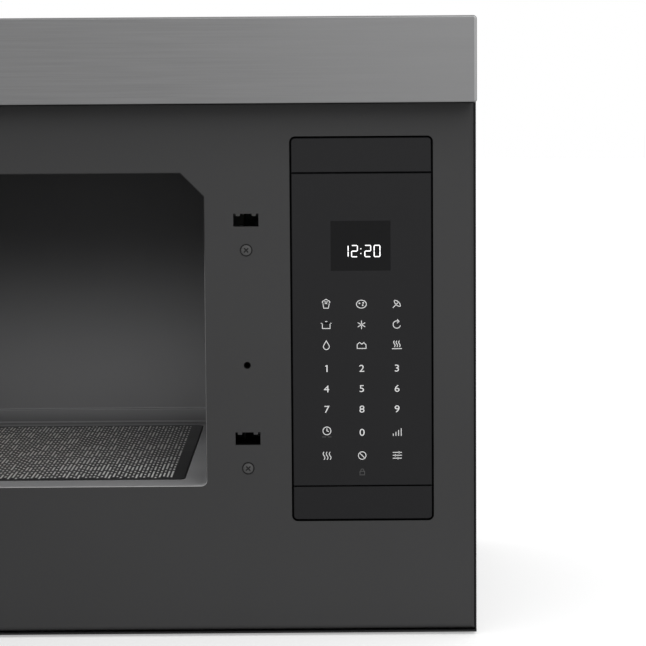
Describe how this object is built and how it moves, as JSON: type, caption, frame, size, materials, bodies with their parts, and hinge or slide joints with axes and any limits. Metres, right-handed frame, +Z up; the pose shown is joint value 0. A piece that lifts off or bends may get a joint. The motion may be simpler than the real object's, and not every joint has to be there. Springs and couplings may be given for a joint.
{
  "type": "over the range microwave",
  "caption": "Over-the-range microwave with a side-hung door standing open, brushed top trim, touch control panel, vent blower, grease filters and a wall plate.",
  "frame": {"origin": "on the wall, at the centre of the four wall bolts of the wall plate's back face", "axes": "+X to the right as seen from the front, +Y towards the wall, +Z up"},
  "size_m": [0.805, 0.991, 0.5151],
  "materials": {
    "black_case": "black powder coat",
    "frame_paint": "satin charcoal paint",
    "galvanised": "plain zinc-coated sheet",
    "strip_steel": "dark brushed along its length",
    "oven_steel": "brushed upright",
    "floor_ceramic": "dark speckled ceramic",
    "dark_plastic": "fine matt grain",
    "panel_gloss": "smooth black",
    "touch_face": "smooth black with pale printing",
    "display_face": "dark display",
    "white_plastic": "plain moulded",
    "board_green": "circuit board",
    "clear_glass": "clear tinted",
    "frosted": "frosted",
    "filter_mesh": "layered mesh",
    "charcoal": "granules in a mesh sleeve",
    "cast_motor": "motor steel",
    "iron_core": "stacked iron and wound coils",
    "fin_aluminium": "pressed fins",
    "spring_steel": "drawn wire",
    "screw_black": "black cross-head",
    "screw_zinc": "zinc",
    "rubber_black": "soft black"
  },
  "bodies": {
    "cabinet": {"outer_wrapper": "black_case", "back_panel": "galvanised", "wall_plate": "galvanised", "base_plate": "black_case", "cabinet_nuts": "screw_zinc", "cord_grommet": "rubber_black", "front_frame": "frame_paint", "trim_strip": "strip_steel", "vent_louvre": "dark_plastic", "charcoal_filter": "charcoal", "latch_screws": "screw_black", "cavity_liner": "oven_steel", "floor_plate": "floor_ceramic", "cavity_lamp": "white_plastic", "waveguide": "galvanised", "stirrer_motor": "galvanised", "magnetron": "fin_aluminium", "power_transformer": "iron_core", "capacitor": "fin_aluminium", "diode": "dark_plastic", "fan_shroud": "galvanised", "fan_motor": "cast_motor", "blower_housing_left": "galvanised", "blower_housing_right": "galvanised", "blower_motor": "cast_motor", "exhaust_collar": "galvanised", "task_lenses": "frosted", "task_lamps": "galvanised", "panel_cap_bottom": "panel_gloss", "touch_glass": "touch_face", "panel_cap_top": "panel_gloss", "panel_housing": "dark_plastic", "display_module": "display_face", "control_board": "board_green", "latch_board": "dark_plastic", "interlock_switches": "dark_plastic", "hinge_pins": "spring_steel", "upper_hinge": "frame_paint", "lower_hinge": "frame_paint", "hinge_screws": "screw_black"},
    "door": {"door_skin": "strip_steel", "door_glass": "touch_face", "door_frame": "dark_plastic", "inner_panel": "frame_paint", "door_screen": "screw_black", "choke_cover": "panel_gloss", "inner_window": "clear_glass", "handle_bar": "strip_steel", "handle_posts": "screw_zinc", "hinge_bushes": "white_plastic", "latch_spring": "spring_steel"},
    "latch": {"latch_key": "dark_plastic"},
    "damper": {"damper_flap": "fin_aluminium"},
    "blower": {"blower_shaft": "spring_steel", "blower_wheel_left": "dark_plastic", "blower_wheel_right": "dark_plastic"},
    "fan": {"cooling_fan": "white_plastic"},
    "stirrer_rotor": {"stirrer": "fin_aluminium"},
    "left_filter": {"grease_filter_left": "filter_mesh"},
    "right_filter": {"grease_filter_right": "filter_mesh"}
  },
  "joints": [
    {"name": "door_swing", "type": "hinge", "parent": "cabinet", "child": "door", "pos_m": [-0.3675, -0.4, 0.08745], "axis": [0, 0, 1], "range_deg": [-15, 90]},
    {"name": "latch_slide", "type": "slide", "parent": "door", "child": "latch", "axis": [0, 0, 1], "range_m": [0, 0.0022], "stiffness_N_per_m": 400, "springref_m": -0.005, "deforming": ["latch_spring"]},
    {"name": "damper_swing", "type": "hinge", "parent": "cabinet", "child": "damper", "pos_m": [0, -0.037, 0.3695], "axis": [-1, 0, 0], "range_deg": [0, 75]},
    {"name": "blower_spin", "type": "hinge", "parent": "cabinet", "child": "blower", "pos_m": [0, -0.105, 0.3031], "axis": [1, 0, 0], "continuous": true},
    {"name": "fan_spin", "type": "hinge", "parent": "cabinet", "child": "fan", "pos_m": [0.275, -0.062, 0.1424], "axis": [0, 1, 0], "continuous": true},
    {"name": "stirrer_spin", "type": "hinge", "parent": "cabinet", "child": "stirrer_rotor", "pos_m": [-0.0915, -0.20575, -0.0301], "axis": [0, 0, 1], "continuous": true},
    {"name": "left_filter_slide", "type": "slide", "parent": "cabinet", "child": "left_filter", "axis": [0, 1, 0], "range_m": [0, 0.01]},
    {"name": "right_filter_slide", "type": "slide", "parent": "cabinet", "child": "right_filter", "axis": [0, 1, 0], "range_m": [0, 0.01]}
  ]
}
